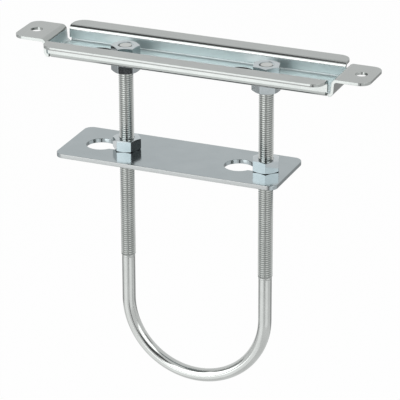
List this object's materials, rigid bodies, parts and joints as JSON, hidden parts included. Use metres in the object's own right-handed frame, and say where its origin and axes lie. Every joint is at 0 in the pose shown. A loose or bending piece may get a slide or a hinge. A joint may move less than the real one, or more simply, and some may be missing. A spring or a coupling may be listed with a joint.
{
  "type": "radiator bracket",
  "caption": "Hanging bracket: pressed rail screwed flat to a wall or ceiling, threaded U-bolt on nuts, and a keyhole clamp plate that closes the U.",
  "frame": {"origin": "midway between the two screw holes of the end tabs, in the plane that meets the wall or ceiling", "axes": "+X along the rail, +Z out of the rail's wall face, so the U hangs towards -Z, Y across the rail"},
  "size_m": [0.25, 0.06, 0.2395],
  "materials": {
    "zinc_sheet": "bright zinc plating on cold-rolled sheet",
    "zinc_rod": "bright zinc plating on rolled thread and rod",
    "zinc_plate": "bright zinc plating, cooler and smoother than the rail",
    "zinc_nut": "bright zinc plating"
  },
  "bodies": {
    "frame": {"wall_rail": "zinc_sheet", "u_bolt": "zinc_rod", "trough_nut_left": "zinc_nut", "trough_nut_right": "zinc_nut", "lower_nut_left": "zinc_nut", "lower_nut_right": "zinc_nut"},
    "clamp": {"clamp_plate": "zinc_plate"},
    "left_nut": {"clamp_nut_left": "zinc_nut"},
    "right_nut": {"clamp_nut_right": "zinc_nut"}
  },
  "joints": [
    {"name": "clamp_slide", "type": "slide", "parent": "frame", "child": "clamp", "axis": [0, 0, 1], "range_m": [-0.0768, 0.0472]},
    {"name": "left_nut_turn", "type": "hinge", "parent": "clamp", "child": "left_nut", "pos_m": [-0.05, 0, -0.0716], "axis": [0, 0, 1], "range_deg": [-18432, 11328]},
    {"name": "right_nut_turn", "type": "hinge", "parent": "clamp", "child": "right_nut", "pos_m": [0.05, 0, -0.0716], "axis": [0, 0, 1], "range_deg": [-18432, 11328]}
  ],
  "couplings": [
    {"joint": "left_nut_turn", "follows": "clamp_slide", "rad_per_m": 4188.8},
    {"joint": "right_nut_turn", "follows": "clamp_slide", "rad_per_m": 4188.8}
  ]
}
